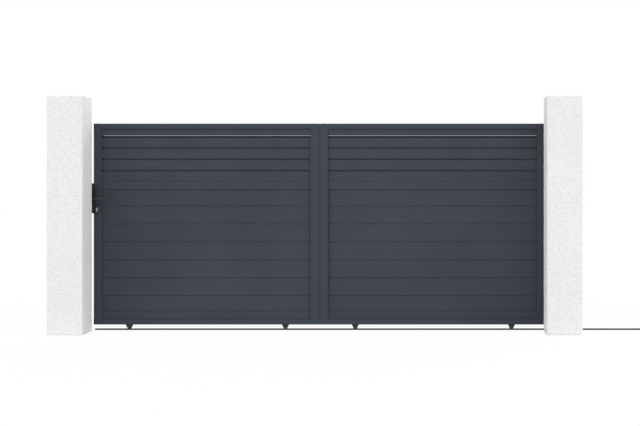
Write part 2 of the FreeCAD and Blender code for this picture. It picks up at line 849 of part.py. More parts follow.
cylinder_body, _ = extrude(
    "lock_cylinder", "XZ", [cylinder_outline("0")],
    "frame_depth + 2 * backplate_thickness + 2 * cylinder_proud",
    y="leaf_back + backplate_thickness + cylinder_proud")
keep(cylinder_body)

faceplate = new_body("lock_faceplate", x="leaf_start")
faceplate_sketch = new_sketch(faceplate, "YZ")
draw_outline(faceplate_sketch, rectangle(
    f"leaf_centre - {face_half}", faceplate_foot,
    f"leaf_centre + {face_half}", f"{faceplate_foot} + faceplate_height"))
draw_outline(faceplate_sketch, rectangle(
    "leaf_centre - bolt_slot_width / 2", "lever_height - bolt_slot_height / 2",
    "leaf_centre + bolt_slot_width / 2", "lever_height + bolt_slot_height / 2"))
pad(faceplate, faceplate_sketch, "stile_wall")
keep(faceplate)


# Levers: a round neck out of the backplate and a flat bar that points into the leaf
def lever(label, face, inward):
    sign = "-1" if inward else "1"
    half = "lever_bar_height / 2"
    bar = [
        ("0", f"-{half}"), (f"lever_length - {half}", f"-{half}", f"lever_length - {half}", "0", 1),
        (f"lever_length - {half}", half), ("0", half, "0", "0", 1),
    ]
    body = new_body(label, "lock_axis", face, "lever_height")
    neck = new_sketch(body, "XZ")
    draw_circle(neck, "0", "0", "lever_neck_radius")
    pad(body, neck, "lever_standoff", backwards=inward)
    arm = new_sketch(body, "XZ", f"{sign} * (lever_standoff - lever_bar_depth)")
    draw_outline(arm, bar)
    block = pad(body, arm, "lever_bar_depth", backwards=inward)
    reach = amount("lever_standoff")
    bevel_edges(
        body, block, "lever_edge",
        lambda edge: abs(abs(edge.CenterOfGravity.y) - reach) < same_place)
    keep(body)


neck_front = "leaf_front - backplate_thickness - lever_gap"
neck_back = "leaf_back + backplate_thickness + lever_gap"
lever("outer_lever", neck_front, False)
lever("inner_lever", neck_back, True)

half_spindle = "spindle_side / 2"
spindle, _ = extrude(
    "lever_spindle", "XZ",
    [rectangle(f"-{half_spindle}", f"-{half_spindle}", half_spindle, half_spindle)],
    f"{neck_back} - ({neck_front})", x="lock_axis", y=neck_back, z="lever_height")
keep(spindle)


# Keeper: one bent plate on the left pillar's back, round the leading edge of the shut leaf
keeper_web = "leaf_start - keeper_clearance"
cheek_front = "leaf_front - keeper_clearance"
cheek_back = "leaf_back + keeper_clearance"
cheek_reach = "leaf_start + keeper_overlap"
keeper_section = [
    (f"{keeper_web} - keeper_foot", "pillar_back"),
    (keeper_web, "pillar_back"),
    (keeper_web, f"{cheek_front} - keeper_plate"),
    (cheek_reach, f"{cheek_front} - keeper_plate"),
    (cheek_reach, cheek_front),
    (keeper_web, cheek_front),
    (keeper_web, cheek_back),
    (cheek_reach, cheek_back),
    (cheek_reach, f"{cheek_back} + keeper_plate"),
    (f"{keeper_web} - keeper_plate", f"{cheek_back} + keeper_plate"),
    (f"{keeper_web} - keeper_plate", "pillar_back + keeper_plate"),
    (f"{keeper_web} - keeper_foot", "pillar_back + keeper_plate"),
]
keeper, keeper_block = extrude(
    "lock_keeper", "XY", [keeper_section], "keeper_height", z="lever_height - keeper_drop")
strike = new_sketch(keeper, "YZ")
strike_middle = "keeper_drop"
draw_outline(strike, rectangle(
    "leaf_centre - strike_width / 2", f"{strike_middle} - strike_height / 2",
    "leaf_centre + strike_width / 2", f"{strike_middle} + strike_height / 2"))
pocket(keeper, strike, "leaf_start", backwards=True)
keep(keeper)


# Top guide on the right pillar's back: an angle plate, two pins and two rollers beside the top rail
guide_section = [
    ("pillar_back", "guide_arm_foot"),
    ("back_roller + guide_arm_overhang", "guide_arm_foot"),
    ("back_roller + guide_arm_overhang", "guide_arm_foot + guide_plate"),
    ("pillar_back + guide_plate", "guide_arm_foot + guide_plate"),
    ("pillar_back + guide_plate", "guide_arm_foot + guide_plate_height"),
    ("pillar_back", "guide_arm_foot + guide_plate_height"),
]
guide, _ = extrude("guide_bracket", "YZ", [guide_section], "guide_width", x="guide_start")
pin_holes = new_sketch(guide, "XY", "guide_arm_foot")
for roller_line in ("front_roller", "back_roller"):
    draw_circle(pin_holes, "guide_width / 2", roller_line, "roller_pin_radius + axle_clearance")
pocket(guide, pin_holes, "guide_plate", backwards=True)
keep(guide)

roller_foot = "leaf_top - (top_rail_height + roller_height) / 2"


def roller(label, line):
    body = new_body(label, "roller_place", line, roller_foot)
    sketch = new_sketch(body, "XY")
    draw_circle(sketch, "0", "0", "roller_radius")
    draw_circle(sketch, "0", "0", "roller_pin_radius + axle_clearance")
    block = pad(body, sketch, "roller_height")
    rim = amount("roller_radius")
    bevel_edges(
        body, block, "roller_edge",
        lambda edge: isinstance(edge.Curve, Part.Circle) and abs(edge.Curve.Radius - rim) < same_place)
    return body


def roller_pin(label, line):
    """A bolt through roller and arm: head below, nut above."""
    grip = f"guide_arm_foot + guide_plate - ({roller_foot})"
    section = [
        ("-roller_pin_head_height", "0"), (f"{grip} + roller_pin_top", "0"),
        (f"{grip} + roller_pin_top", "roller_pin_radius"),
        (f"{grip} + roller_pin_head_height", "roller_pin_radius"),
        (f"{grip} + roller_pin_head_height", "roller_pin_head"), (grip, "roller_pin_head"),
        (grip, "roller_pin_radius"), ("0", "roller_pin_radius"), ("0", "roller_pin_head"),
        ("-roller_pin_head_height", "roller_pin_head"),
    ]
    body = new_body(label, "roller_place", line, roller_foot)
    body.Placement.Rotation = FreeCAD.Rotation(FreeCAD.Vector(1, 0, 0), 90)
    sketch = new_sketch(body, "YZ")
    draw_outline(sketch, section)
    revolve(body, sketch)
    return body


gather("guide_rollers", [roller("front_roller", "front_roller"), roller("rear_roller", "back_roller")])
gather("guide_pins", [roller_pin("front_pin", "front_roller"), roller_pin("rear_pin", "back_roller")])

# Check every object, then write one file for each sub-part
doc.recompute()
for item in doc.Objects:
    if "Invalid" in item.State or "Error" in item.State:
        raise RuntimeError(f"{item.Label}: {item.State}")
for piece in pieces:
    if piece.Shape.isNull() or not piece.Shape.isValid():
        raise RuntimeError(f"{piece.Label}: its shape is not valid")
os.makedirs("parts", exist_ok=True)
for piece in pieces:
    piece.Shape.exportStep(f"parts/{piece.Label}.step")
print(len(pieces), "pieces written")
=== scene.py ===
import math

import bmesh
import bpy
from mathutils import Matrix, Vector


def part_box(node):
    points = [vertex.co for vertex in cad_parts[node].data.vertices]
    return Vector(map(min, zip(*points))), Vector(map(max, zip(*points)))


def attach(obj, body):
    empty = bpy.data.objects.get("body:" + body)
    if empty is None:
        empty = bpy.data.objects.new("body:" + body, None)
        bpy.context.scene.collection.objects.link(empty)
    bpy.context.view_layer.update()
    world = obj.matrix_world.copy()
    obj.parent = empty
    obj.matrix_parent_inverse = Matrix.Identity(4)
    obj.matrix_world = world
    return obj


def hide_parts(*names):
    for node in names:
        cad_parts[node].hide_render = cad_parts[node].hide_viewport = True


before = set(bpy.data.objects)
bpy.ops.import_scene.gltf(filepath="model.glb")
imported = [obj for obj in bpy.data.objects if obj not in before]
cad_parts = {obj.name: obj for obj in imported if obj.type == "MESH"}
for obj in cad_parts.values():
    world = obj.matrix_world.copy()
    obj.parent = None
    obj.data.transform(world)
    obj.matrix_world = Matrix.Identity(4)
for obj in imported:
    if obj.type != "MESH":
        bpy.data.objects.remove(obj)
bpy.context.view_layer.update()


# Pillars
# Blockwork posts under a thrown-on white render, which leaves a pebbly skin and softened corners.
# They stand on their footings and carry the keeper and the top guide on their backs.
def linear(code):
    """An sRGB hex colour as linear RGBA."""
    parts = [int(code[start:start + 2], 16) / 255 for start in (1, 3, 5)]
    return [p / 12.92 if p <= 0.04045 else ((p + 0.055) / 1.055) ** 2.4 for p in parts] + [1.0]


def add_node(tree, kind, inputs, **settings):
    """Add a shader node, set its properties, and fill or link its inputs."""
    node = tree.nodes.new("ShaderNode" + kind)
    for name, value in settings.items():
        setattr(node, name, value)
    for socket, value in inputs.items():
        if isinstance(value, bpy.types.NodeSocket):
            tree.links.new(value, node.inputs[socket])
        else:
            node.inputs[socket].default_value = value
    return node


def new_material(name):
    """An empty node material, and the object coordinates in metres that its patterns read."""
    material = bpy.data.materials.new(name)
    material.use_nodes = True
    tree = material.node_tree
    tree.nodes.clear()
    return material, tree, add_node(tree, "TexCoord", {}).outputs["Object"]


def shade(tree, value, first, last, start=0.3, finish=0.7):
    """A colour that runs from one to another as a value rises."""
    ramp = add_node(tree, "ValToRGB", {"Fac": value})
    for element, code, place in zip(ramp.color_ramp.elements, (first, last), (start, finish)):
        element.color = linear(code)
        element.position = place
    return ramp.outputs["Color"]


def add_surface(tree, inputs):
    """Close a material with its surface shader."""
    surface = add_node(tree, "BsdfPrincipled", inputs)
    add_node(tree, "OutputMaterial", {"Surface": surface.outputs["BSDF"]})


def start_piece():
    """Leave edit mode with nothing selected, ready for a new primitive."""
    if bpy.context.object and bpy.context.object.mode != "OBJECT":
        bpy.ops.object.mode_set(mode="OBJECT")
    bpy.ops.object.select_all(action="DESELECT")


def add_block(middle, size):
    """A plain block to be shaped further, with its place in its mesh."""
    start_piece()
    bpy.ops.mesh.primitive_cube_add(size=1, location=middle, scale=size)
    bpy.ops.object.transform_apply(location=True, rotation=True, scale=True)
    return bpy.context.object


def pick(kind, test):
    """In edit mode, select just the faces, edges or verts that pass a test."""
    bpy.ops.mesh.select_mode(type=kind)
    bpy.ops.mesh.select_all(action="DESELECT")
    mesh = bmesh.from_edit_mesh(bpy.context.object.data)
    for item in {"VERT": mesh.verts, "EDGE": mesh.edges, "FACE": mesh.faces}[kind]:
        if test(item):
            item.select_set(True)
    mesh.select_flush_mode()
    bmesh.update_edit_mesh(bpy.context.object.data)


def apply_modifier(kind, **settings):
    """Add a modifier to the active piece and apply it at once."""
    modifier = bpy.context.object.modifiers.new(kind.lower(), kind)
    for name, value in settings.items():
        setattr(modifier, name, value)
    bpy.ops.object.modifier_apply(modifier=modifier.name)


def settle(name, material, body):
    """Name the active piece, put its place into its mesh, finish it and let it ride on a body."""
    if bpy.context.object.mode != "OBJECT":
        bpy.ops.object.mode_set(mode="OBJECT")
    bpy.ops.object.transform_apply(location=True, rotation=True, scale=True)
    piece = bpy.context.object
    piece.name = name
    piece.data.materials.clear()
    piece.data.materials.append(material)
    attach(piece, body)
    return piece


# Lime render thrown on with sand and small pebbles: matt and chalky, with painted shade that colours
# the hollows a little darker, and the pebbles drawn out sideways by the float.
roughcast, tree, spot = new_material("white_roughcast_render")
sand_grain = 0.003
pebble_size = 0.009
pebble_upset = 0.006
upset_size = 0.018
float_stroke = (0.62, 0.62, 1.05)
stone_height = 0.003
grain_height = 0.001
weathering = 0.4
upset = add_node(tree, "TexNoise", {"Vector": spot, "Scale": 1 / upset_size, "Detail": 1.0})
drawn = add_node(tree, "VectorMath", {0: spot, 1: float_stroke}, operation="MULTIPLY")
thrown = add_node(tree, "VectorMath", {
    0: upset.outputs["Color"], 1: (pebble_upset,) * 3, 2: drawn.outputs["Vector"]}, operation="MULTIPLY_ADD")
pebbles = add_node(tree, "TexVoronoi", {
    "Vector": thrown.outputs["Vector"], "Scale": 1 / pebble_size, "Smoothness": 0.25}, feature="SMOOTH_F1")
sand = add_node(tree, "TexNoise", {"Vector": spot, "Scale": 1 / sand_grain, "Detail": 3.0, "Roughness": 0.6})
stains = add_node(tree, "TexNoise", {"Vector": spot, "Scale": 1 / weathering, "Detail": 2.0})
# Painted shade: the hollows between the pebbles are coloured darker than the pebbles' tops
painted_hollow_shade = shade(tree, pebbles.outputs["Distance"], "#efefef", "#e1e1e1", start=0.2, finish=0.8)
streaks = shade(tree, stains.outputs["Fac"], "#fcfcfc", "#ffffff")
colour = add_node(tree, "MixRGB", {"Fac": 1.0, "Color1": painted_hollow_shade, "Color2": streaks}, blend_type="MULTIPLY")
stones = add_node(tree, "Bump", {
    "Height": pebbles.outputs["Distance"], "Strength": 0.5, "Distance": stone_height}, invert=True)
grain = add_node(tree, "Bump", {
    "Height": sand.outputs["Fac"], "Strength": 0.5, "Distance": grain_height,
    "Normal": stones.outputs["Normal"]})
add_surface(tree, {
    "Base Color": colour.outputs["Color"], "Roughness": 0.95, "Specular IOR Level": 0.15,
    "Normal": grain.outputs["Normal"]})

thrown_pebbles = bpy.data.textures.new("thrown_pebbles", "CLOUDS")
thrown_pebbles.noise_scale = 0.012
thrown_pebbles.noise_depth = 2

# How near counts as the same place when faces, edges and verts are picked
near = 0.00025


def rendered_pillar(node):
    """A block with rounded corners under a pebbly skin, cut level at its foot."""
    corner_radius = 0.008
    skin_grid = 0.0056
    skin_relief = 0.004
    skin_level = 0.55
    foot_cut = 0.005
    low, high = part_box(node)
    add_block((low + high) / 2, high - low)
    bpy.ops.object.mode_set(mode="EDIT")
    pick("EDGE", lambda edge: max(vert.co.z for vert in edge.verts) > high.z / 2)
    bpy.ops.mesh.bevel(offset=corner_radius, segments=3, affect="EDGES")
    bpy.ops.object.mode_set(mode="OBJECT")
    apply_modifier("REMESH", mode="VOXEL", voxel_size=skin_grid)
    apply_modifier("DISPLACE", texture=thrown_pebbles, strength=skin_relief, mid_level=skin_level)
    bpy.ops.object.mode_set(mode="EDIT")
    bpy.ops.mesh.select_all(action="SELECT")
    bpy.ops.mesh.bisect(plane_co=(0, 0, foot_cut), plane_no=(0, 0, 1), clear_inner=True, use_fill=True)
    pick("VERT", lambda vert: vert.co.z < foot_cut + near)
    bpy.ops.transform.translate(value=(0, 0, -foot_cut))
    bpy.ops.object.mode_set(mode="OBJECT")
    bpy.ops.object.shade_smooth()
    piece = settle(f"{node}_render", roughcast, "root")
    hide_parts(node)


rendered_pillar("left_pillar")
rendered_pillar("right_pillar")


# Ground track
# A flanged strip of coated aluminium with a half-round bead for the wheels, laid in two lengths and
# screwed down to the ground beam along both flanges.
def dress(names, material):
    """Give CAD pieces a material."""
    for name in names:
        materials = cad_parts[name].data.materials
        materials.clear()
        materials.append(material)


# Polyester powder baked on metal: matt, with a fine leathery grit and hardly any change of colour.
# The grit is about 0.5 mm in truth, and drawn at 3 mm so that it shows.
def powder_coat(name, dark, light, roughness):
    material, tree, spot = new_material(name)
    grit_size = 0.003
    grit_height = 0.0006
    batch_drift = 0.5
    gloss_drift = 0.06
    grit = add_node(tree, "TexNoise", {"Vector": spot, "Scale": 1 / grit_size, "Detail": 2.0})
    drift = add_node(tree, "TexNoise", {"Vector": spot, "Scale": 1 / batch_drift, "Detail": 3.0})
    gloss = add_node(tree, "MapRange", {
        "Value": grit.outputs["Fac"], "From Min": 0.3, "From Max": 0.7,
        "To Min": roughness - gloss_drift, "To Max": roughness + gloss_drift})
    bump = add_node(tree, "Bump", {"Height": grit.outputs["Fac"], "Strength": 0.15, "Distance": grit_height})
    add_surface(tree, {
        "Base Color": shade(tree, drift.outputs["Fac"], dark, light),
        "Roughness": gloss.outputs["Result"], "Specular IOR Level": 0.25,
        "Normal": bump.outputs["Normal"]})
    return material


track_coat = powder_coat("dark_coated_track_aluminium", "#303337", "#363a3e", roughness=0.5)
dress(["front_rail", "storage_rail"], track_coat)

# Zinc plate on steel: bright, slightly cloudy, with a soft sheen.
zinc, tree, spot = new_material("zinc_plated_steel")
spangle = 0.004
cloud = add_node(tree, "TexNoise", {"Vector": spot, "Scale": 1 / spangle, "Detail": 3.0})
gloss = add_node(tree, "MapRange", {"Value": cloud.outputs["Fac"], "To Min": 0.22, "To Max": 0.42})
add_surface(tree, {
    "Base Color": shade(tree, cloud.outputs["Fac"], "#a9acae", "#c3c5c6"),
    "Metallic": 1.0, "Roughness": gloss.outputs["Result"]})

# How squarely a face has to look along an axis to be picked by it
square_on = 0.99


def smooth(up_to):
    """Shade the active piece smooth across edges that turn by up to an angle in degrees."""
    bpy.ops.object.shade_smooth_by_angle(angle=math.radians(up_to))


def add_disc(sides, radius, foot, head):
    """Add a round or many-sided disc between two heights on the upright axis."""
    bpy.ops.mesh.primitive_cylinder_add(
        vertices=sides, radius=radius, depth=head - foot, location=(0, 0, (foot + head) / 2))


def open_disc(sides, radius, foot, head):
    """Start a piece from such a disc and open it for shaping."""
    start_piece()
    add_disc(sides, radius, foot, head)
    bpy.ops.object.transform_apply(location=True, rotation=True, scale=True)
    bpy.ops.object.mode_set(mode="EDIT")


def ease_rim(height, offset, segments):
    """Bevel the rim at the top of the open mesh."""
    pick("EDGE", lambda edge: all(vert.co.z > height - near for vert in edge.verts))
    bpy.ops.mesh.bevel(offset=offset, segments=segments, affect="EDGES")


def socket_screw(radius, height):
    """A low round head with a rolled edge and a socket, seated at the origin and facing up."""
    rolled_edge = height * 0.45
    socket_rim = radius * 0.35
    socket_depth = height * 0.7
    open_disc(sides=18, radius=radius, foot=0, head=height)
    ease_rim(height, rolled_edge, segments=2)
    pick("FACE", lambda face: face.normal.z > square_on)
    bpy.ops.mesh.inset(thickness=socket_rim)
    bpy.ops.mesh.extrude_region_move(TRANSFORM_OT_translate={"value": (0, 0, -socket_depth)})
    bpy.ops.object.mode_set(mode="OBJECT")
    smooth(up_to=35)
    return bpy.context.object


def take_up(piece):
    """Select one piece by itself and make it the active one."""
    start_piece()
    piece.select_set(True)
    bpy.context.view_layer.objects.active = piece


def place_copies(model, spots, facing):
    """Copy a fixing to each spot, turned to face a way, and join the copies into one piece."""
    copies = []
    for place in spots:
        take_up(model)
        bpy.ops.object.duplicate(linked=False)
        bpy.context.object.rotation_euler = Vector(facing).to_track_quat("Z", "Y").to_euler()
        bpy.context.object.location = place
        copies.append(bpy.context.object)
    bpy.data.objects.remove(model)
    start_piece()
    for copy in copies:
        copy.select_set(True)
    bpy.context.view_layer.objects.active = copies[0]
    if len(copies) > 1:
        bpy.ops.object.join()


track_low, track_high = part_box("front_rail")
track_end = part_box("storage_rail")[1].x
track_middle = (track_low.y + track_high.y) / 2
flange_top = 0.003
screw_line = 0.0155
screw_pitch = 0.5
screw_inset = 0.04
screw_spots = []
for start, finish in ((track_low.x, track_high.x), (track_high.x, track_end)):
    span = finish - start - 2 * screw_inset
    count = round(span / screw_pitch)
    screw_spots += [
        (start + screw_inset + span * number / count, track_middle + side * screw_line, flange_top)
        for number in range(count + 1) for side in (-1, 1)]
place_copies(socket_screw(radius=0.0036, height=0.0006), screw_spots, facing=(0, 0, 1))
settle("track_screws", zinc, "root")

# End stop
# A rounded steel block that straddles the bead at the far end of the track, coated black, with a
# rubber buffer held by a bolt whose nut sits on the block's back.
black_steel = powder_coat("black_coated_steel", "#1d2022", "#232629", roughness=0.45)
dress(["rail_end_stop"], black_steel)

# Carbon-black rubber from a plain mould: dead matt, with a faint grey bloom in patches.
rubber, tree, spot = new_material("black_moulded_rubber")
bloom_size = 0.01
bloom = add_node(tree, "TexNoise", {"Vector": spot, "Scale": 1 / bloom_size, "Detail": 3.0})
add_surface(tree, {
    "Base Color": shade(tree, bloom.outputs["Fac"], "#1a1a1a", "#252525"),
    "Roughness": 0.85, "Specular IOR Level": 0.3})
dress(["end_stop_pad"], rubber)


def hex_bolt(radius, height):
    """A washer under a hexagon head with a turned crown, seated at the origin and facing up."""
    washer = 0.0016
    washer_radius = radius * 1.25
    washer_edge = washer * 0.3
    crown = height * 0.16
    open_disc(sides=28, radius=washer_radius, foot=0, head=washer)
    ease_rim(washer, washer_edge, segments=2)
    add_disc(sides=6, radius=radius, foot=washer, head=washer + height)
    pick("FACE", lambda face: (face.normal.z > square_on
                               and face.calc_center_median().z > washer + height / 2))
    bpy.ops.mesh.inset(thickness=crown)
    bpy.ops.transform.translate(value=(0, 0, crown / 2))
    bpy.ops.object.mode_set(mode="OBJECT")
    smooth(up_to=25)
    return bpy.context.object


stop_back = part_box("rail_end_stop")[1].x
pad_low, pad_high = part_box("end_stop_pad")
place_copies(hex_bolt(radius=0.0075, height=0.006),
             [(stop_back, track_middle, (pad_low.z + pad_high.z) / 2)], facing=(1, 0, 0))
settle("end_stop_nut", zinc, "root")


# Keeper
# Folded steel plate, coated black: its foot is bolted to the left pillar's back, its web faces the
# leaf's leading edge with a slot for the lock's bolt, and two cheeks close round the shut leaf.
def solid_sheet(thickness, edge):
    """Thicken the active sheet evenly and ease its edges."""
    bpy.ops.object.mode_set(mode="OBJECT")
    apply_modifier("SOLIDIFY", thickness=thickness, offset=0, use_even_offset=True)
    bpy.ops.object.mode_set(mode="EDIT")
    bpy.ops.mesh.select_all(action="SELECT")
    bpy.ops.mesh.normals_make_consistent(inside=False)
    bpy.ops.object.mode_set(mode="OBJECT")
    apply_modifier("BEVEL", width=edge, segments=2, limit_method="ANGLE", angle_limit=math.radians(50))
    smooth(up_to=35)


def cut_with(cutter):
    """Cut the active piece with a block and throw the block away."""
    apply_modifier("BOOLEAN", operation="DIFFERENCE", object=cutter, solver="EXACT")
    bpy.data.objects.remove(cutter)


plate = 0.004
bend = 0.006
sheared_edge = 0.0006
running_gap = 0.005
slot_width = 0.016
slot_height = 0.06
slot_corner = slot_width * 0.3
slot_reach = 3 * plate
keeper_low, keeper_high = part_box("lock_keeper")
leaf_edge, leaf_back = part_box("leading_stile")
spindle_low, spindle_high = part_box("lever_spindle")
lever_z = (spindle_low.z + spindle_high.z) / 2
web_x = leaf_edge.x - running_gap - plate / 2
foot_y = keeper_low.y + plate / 2
cheek_y = leaf_edge.y - running_gap - plate / 2
keeper_middle = (keeper_low.z + keeper_high.z) / 2
keeper_height = keeper_high.z - keeper_low.z
start_piece()
bpy.ops.mesh.primitive_plane_add(size=1, rotation=(math.radians(90), 0, 0))
bpy.ops.object.transform_apply(location=True, rotation=True, scale=True)
keeper_sheet = bpy.context.object
keeper_sheet.scale = (web_x - keeper_low.x, 1, keeper_height)
keeper_sheet.location = ((keeper_low.x + web_x) / 2, foot_y, keeper_middle)
bpy.ops.object.transform_apply(location=True, rotation=True, scale=True)
bpy.ops.object.mode_set(mode="EDIT")
pick("EDGE", lambda edge: all(vert.co.x > web_x - near for vert in edge.verts))
bpy.ops.mesh.extrude_region_move(TRANSFORM_OT_translate={"value": (0, cheek_y - foot_y, 0)})
bpy.ops.mesh.extrude_region_move(
    TRANSFORM_OT_translate={"value": (0, keeper_high.y - plate / 2 - cheek_y, 0)})
bpy.ops.mesh.extrude_region_move(TRANSFORM_OT_translate={"value": (keeper_high.x - web_x, 0, 0)})
pick("EDGE", lambda edge: len(edge.link_faces) == 2 and all(
    abs(vert.co.x - web_x) < near and abs(vert.co.y - cheek_y) > near for vert in edge.verts))
bpy.ops.mesh.bevel(offset=bend, segments=4, affect="EDGES")
solid_sheet(plate, sheared_edge)
front_cheek = add_block(((web_x + keeper_high.x) / 2, cheek_y, keeper_middle),
                        (keeper_high.x - web_x, plate, keeper_height))
apply_modifier("BEVEL", width=sheared_edge, segments=2)
take_up(keeper_sheet)
front_cheek.select_set(True)
bpy.ops.object.join()
strike_slot = add_block((web_x, (leaf_edge.y + leaf_back.y) / 2, lever_z),
                        (slot_reach, slot_width, slot_height))
bpy.ops.object.mode_set(mode="EDIT")
pick("EDGE", lambda edge: abs((edge.verts[0].co - edge.verts[1].co).x) > plate)
bpy.ops.mesh.bevel(offset=slot_corner, segments=4, affect="EDGES")
take_up(keeper_sheet)
cut_with(strike_slot)
smooth(up_to=35)
piece = settle("folded_keeper", black_steel, "root")
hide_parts("lock_keeper")

wall_bolt_inset = 0.026
wall_bolt_pitch = 0.085
place_copies(hex_bolt(radius=0.0075, height=0.006),
             [(keeper_low.x + wall_bolt_inset, foot_y + plate / 2, keeper_middle + step * wall_bolt_pitch)
              for step in (-1, 0, 1)], facing=(0, 1, 0))
settle("keeper_wall_bolts", zinc, "root")

# Running gear
# Grooved nylon wheels turn on steel axles in folded forks that are fixed up inside the bottom rail;
# the forks and the riveted axle heads are coated dark grey.
fork_coat = powder_coat("dark_coated_fork_steel", "#35383c", "#3b3e42", roughness=0.5)
wheel_numbers = range(1, 5)
dress([f"wheel_fork_{number}" for number in wheel_numbers] + ["wheel_axles"], fork_coat)

# Nylon from a textured mould: dull black with a fine pebbled skin, whose pits are coloured a little darker as
# painted shade.
# The skin is about 0.3 mm in truth, and drawn at 2 mm so that it shows.
nylon, tree, spot = new_material("moulded_black_nylon")
mould_grain = 0.002
mould_depth = 0.0004
skin = add_node(tree, "TexVoronoi", {"Vector": spot, "Scale": 1 / mould_grain})
bump = add_node(tree, "Bump", {"Height": skin.outputs["Distance"], "Strength": 0.15, "Distance": mould_depth})
# Painted shade: the colour follows the skin's relief, a little darker in its pits than on its ridges
add_surface(tree, {
    "Base Color": shade(tree, skin.outputs["Distance"], "#242425", "#2c2c2d"),
    "Roughness": 0.6, "Specular IOR Level": 0.35, "Normal": bump.outputs["Normal"]})
dress([f"wheel_{number}" for number in wheel_numbers], nylon)

# Leaf frame
# Extruded aluminium, powder coated anthracite: a channel below, a box tube on top, four stiles
# between them and closing strips at the joint and the tail, screwed together through the top rail.
anthracite = powder_coat("anthracite_powder_coat", "#353a43", "#3a3f48", roughness=0.6)
stiles = ["leading_stile", "left_centre_stile", "right_centre_stile", "trailing_stile"]
dress(stiles + ["bottom_rail", "top_rail", "tail_strip"], anthracite)

strip_easing = 0.0028
strip_low, strip_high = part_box("centre_joint_strip")
add_block((strip_low + strip_high) / 2, strip_high - strip_low)
bpy.ops.object.mode_set(mode="EDIT")
pick("EDGE", lambda edge: abs((edge.verts[0].co - edge.verts[1].co).z) > strip_easing)
bpy.ops.mesh.bevel(offset=strip_easing, segments=4, affect="EDGES")
bpy.ops.object.mode_set(mode="OBJECT")
smooth(up_to=35)
piece = settle("eased_joint_strip", anthracite, "leaf")
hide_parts("centre_joint_strip")

rail_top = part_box("top_rail")[1].z
screw_shares = (0.25, 0.75)
frame_screw_spots = []
for stile in stiles:
    stile_low, stile_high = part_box(stile)
    frame_screw_spots += [
        ((stile_low.x + stile_high.x) / 2, stile_low.y + share * (stile_high.y - stile_low.y), rail_top)
        for share in screw_shares]
place_copies(socket_screw(radius=0.005, height=0.0025), frame_screw_spots, facing=(0, 0, 1))
settle("frame_screws", black_steel, "leaf")

# End caps and tail pieces
# Moulded nylon: caps close the rails' leading ends, and long tail pieces carry the leaf on between
# the top rollers, each held by two screws from the back.
dress(["rail_end_caps", "upper_tail_guide", "lower_tail_guide"], nylon)
tail_screw_rises = {"upper_tail_guide": 0.019, "lower_tail_guide": 0.04}
tail_screw_reaches = (0.04, 0.08)
tail_screw_spots = []
for tail, rise in tail_screw_rises.items():
    tail_low, tail_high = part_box(tail)
    tail_screw_spots += [
        (tail_low.x + reach, tail_high.y, tail_low.z + rise) for reach in tail_screw_reaches]
place_copies(socket_screw(radius=0.0045, height=0.002), tail_screw_spots, facing=(0, 1, 0))
settle("tail_screws", zinc, "leaf")

# Infill
# Crossbars, louvre blades and tongue-and-groove planks, all hollow extrusions in the frame's coat,
# pushed into the stiles' channels between the rails.
infill = ("upper_crossbar", "middle_crossbar", "lower_crossbar", "louvres", "planks")
dress([f"{half}_{member}" for half in ("left", "right") for member in infill], anthracite)

# Lock
# A gate lock in the leading stile: steel faceplate, nickelled brass profile cylinder, and on each
# side a long cast backplate, coated black like the levers, with screws on the inner side only.
dress(["lock_faceplate", "lever_spindle"], zinc)
furniture = powder_coat("black_coated_backplate", "#2b3036", "#31363c", roughness=0.42)
dress(["outer_backplate", "inner_backplate"], furniture)

# Satin nickel on brass: a warm grey metal under a fine matt bloom.
# Its grain is about 0.1 mm in truth, and drawn at 1.5 mm so that it shows.
nickel, tree, spot = new_material("satin_nickelled_brass")
satin_grain = 0.0015
satin = add_node(tree, "TexNoise", {"Vector": spot, "Scale": 1 / satin_grain, "Detail": 2.0})
gloss = add_node(tree, "MapRange", {"Value": satin.outputs["Fac"], "To Min": 0.3, "To Max": 0.5})
add_surface(tree, {
    "Base Color": shade(tree, satin.outputs["Fac"], "#b8aaa1", "#c8bab1"),
    "Metallic": 1.0, "Roughness": gloss.outputs["Result"]})
dress(["lock_cylinder"], nickel)

cylinder_radius = 0.0085
lock_x = (spindle_low.x + spindle_high.x) / 2
cylinder_low, cylinder_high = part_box("lock_cylinder")
plug_z = cylinder_high.z - cylinder_radius


def key_plug():
    """The turning plug in a cylinder's end, with its key slot, facing up at the origin."""
    radius = 0.0062
    proud = 0.0008
    plug_edge = proud * 0.4
    key_width = 0.0017
    key_height = 0.0075
    key_drop = 0.0008
    key_slot = add_block((0, -key_drop, proud), (key_width, key_height, proud))
    open_disc(sides=32, radius=radius, foot=0, head=proud)
    ease_rim(proud, plug_edge, segments=2)
    bpy.ops.object.mode_set(mode="OBJECT")
    cut_with(key_slot)
    smooth(up_to=30)
    return bpy.context.object


place_copies(key_plug(), [(lock_x, cylinder_low.y, plug_z)], facing=(0, -1, 0))
settle("outer_key_plug", nickel, "leaf")
place_copies(key_plug(), [(lock_x, cylinder_high.y, plug_z)], facing=(0, 1, 0))
settle("inner_key_plug", nickel, "leaf")

inner_low, inner_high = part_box("inner_backplate")
plate_screw_inset = 0.009
place_copies(socket_screw(radius=0.0035, height=0.0015),
             [(lock_x, inner_high.y, height)
              for height in (inner_low.z + plate_screw_inset, inner_high.z - plate_screw_inset)],
             facing=(0, 1, 0))
settle("backplate_screws", black_steel, "leaf")

face_low, face_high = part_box("lock_faceplate")
face_screw_inset = 0.012
place_copies(socket_screw(radius=0.004, height=0.0006),
             [(face_low.x, (face_low.y + face_high.y) / 2, height)
              for height in (face_low.z + face_screw_inset, face_high.z - face_screw_inset)],
             facing=(-1, 0, 0))
settle("faceplate_screws", zinc, "leaf")


# Levers
# Cast aluminium, coated black: a collar and a round neck out of the backplate, run into a flat bar
# with well rounded edges. Both sit on one square spindle and turn together.
# Painted highlight: the levers' coat is coloured a lighter, more neutral grey than the backplates', though
# both are the same black coat, to stand for the light the levers catch
lever_coat_with_painted_highlight = powder_coat("black_coated_casting", "#363637", "#3d3d3e", roughness=0.42)


